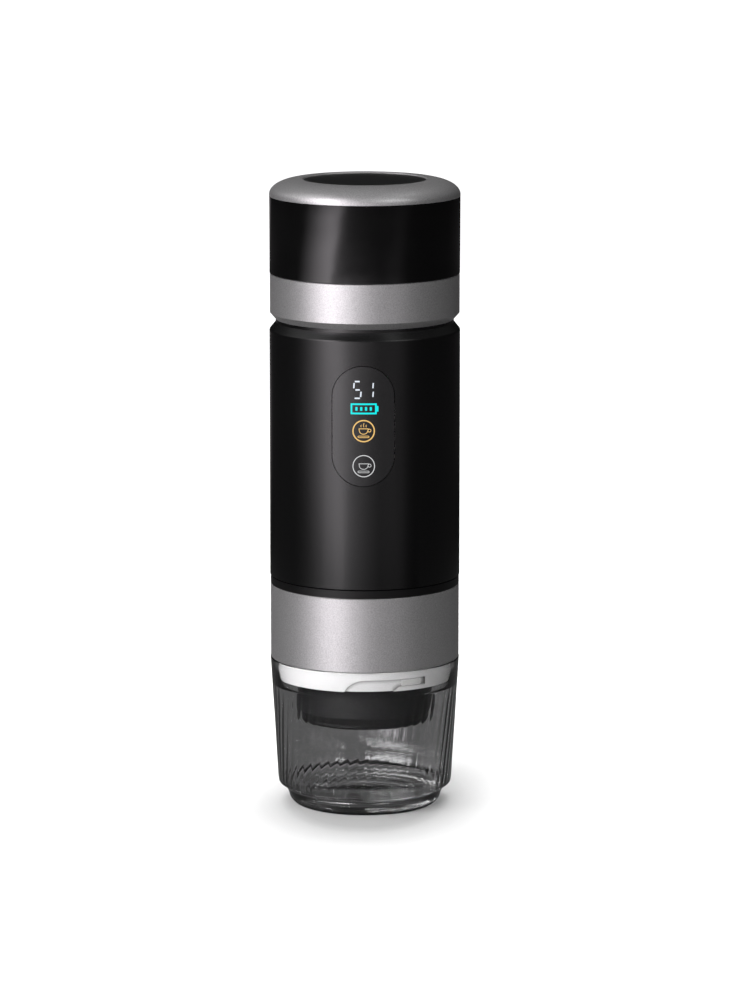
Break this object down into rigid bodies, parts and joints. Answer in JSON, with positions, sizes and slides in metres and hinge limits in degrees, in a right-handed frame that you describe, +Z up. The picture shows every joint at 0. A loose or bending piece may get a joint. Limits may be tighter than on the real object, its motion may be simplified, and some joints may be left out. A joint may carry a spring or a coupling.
{
  "type": "portable espresso maker",
  "caption": "Slim cylindrical battery espresso maker that stands on its own smoky fluted cup, with satin black body, silver bands, touch display and a screw lid over the water tank.",
  "frame": {"origin": "centre of the cup's foot, on the surface it stands on", "axes": "+Z up the machine's axis, -Y the front with the display, +X to the right seen from the front"},
  "size_m": [0.07, 0.07, 0.2327],
  "materials": {
    "smoke_plastic": "clear smoky, moulded",
    "silver_paint": "fine metallic, satin",
    "satin_black": "satin",
    "gloss_black": "gloss",
    "window_black": "smooth satin",
    "white_plastic": "fine matte",
    "black_plastic": "moulded, semi-matte",
    "inner_plastic": "moulded",
    "steel": "brushed",
    "aluminium": "turned",
    "silicone": "matte",
    "black_rubber": "matte",
    "copper_winding": "wound, varnished",
    "cell_wrap": "shrink film",
    "board_green": "lacquered",
    "insulation": "felt"
  },
  "bodies": {
    "cup": {"cup": "smoke_plastic"},
    "brew_head": {"head_shell": "silver_paint", "bayonet_collar": "white_plastic", "spout": "black_plastic", "spout_gasket": "silicone", "basket_holder": "inner_plastic", "filter_basket": "steel", "thread_ring": "black_plastic", "head_screws": "steel"},
    "group_seal": {"group_gasket": "silicone"},
    "machine": {"upper_ring": "silver_paint", "main_housing": "satin_black", "trim_ring": "gloss_black", "display_panel": "window_black", "lower_cell_tray": "black_plastic", "upper_cell_tray": "black_plastic", "board_parts": "black_plastic", "pump_barrel": "black_plastic", "lower_plate": "inner_plastic", "mid_plate": "inner_plastic", "upper_plate": "inner_plastic", "water_tank": "inner_plastic", "shower_screen": "steel", "shower_screw": "steel", "frame_screws": "steel", "heater_rods": "steel", "thermostat": "steel", "pump_frame": "steel", "lower_spring": "steel", "upper_spring": "steel", "cell_straps": "steel", "charging_socket": "steel", "tank_strainer": "steel", "group_head": "aluminium", "frame_posts": "aluminium", "boiler": "aluminium", "pressure_tube": "silicone", "suction_tube": "silicone", "pump_cushion": "black_rubber", "pump_coil": "copper_winding", "battery_cells": "cell_wrap", "display_board": "board_green", "control_board": "board_green", "charge_board": "board_green", "boiler_sleeve": "insulation"},
    "plunger": {"pump_plunger": "steel"},
    "port_cover": {"port_cover": "black_rubber"},
    "lid_seal": {"lid_gasket": "silicone"},
    "lid": {"lid_liner": "inner_plastic", "lid_shell": "gloss_black", "dome": "silver_paint", "inlay_disc": "window_black"}
  },
  "joints": [
    {"name": "head_lift", "type": "slide", "parent": "cup", "child": "brew_head", "axis": [0, 0, 1], "range_m": [0, 0.03]},
    {"name": "machine_rise", "type": "slide", "parent": "brew_head", "child": "group_seal", "axis": [0, 0, 1], "range_m": [0, 0.012]},
    {"name": "machine_turn", "type": "hinge", "parent": "group_seal", "child": "machine", "pos_m": [0, 0, 0.083], "axis": [0, 0, 1], "range_deg": [0, 360]},
    {"name": "pump_stroke", "type": "slide", "parent": "machine", "child": "plunger", "axis": [0, 0, 1], "range_m": [-0.0015, 0.0015], "stiffness_N_per_m": 1500, "deforming": ["lower_spring", "upper_spring"]},
    {"name": "port_cover_swing", "type": "hinge", "parent": "machine", "child": "port_cover", "pos_m": [0, 0.0339, 0.16193], "axis": [-1, 0, 0], "range_deg": [0, 90]},
    {"name": "lid_rise", "type": "slide", "parent": "machine", "child": "lid_seal", "axis": [0, 0, 1], "range_m": [0, 0.009]},
    {"name": "lid_turn", "type": "hinge", "parent": "lid_seal", "child": "lid", "pos_m": [0, 0, 0.2], "axis": [0, 0, 1], "range_deg": [0, 360]}
  ],
  "couplings": [
    {"joint": "machine_rise", "follows": "machine_turn", "m_per_rad": 0.0019083},
    {"joint": "lid_rise", "follows": "lid_turn", "m_per_rad": 0.0014308}
  ]
}
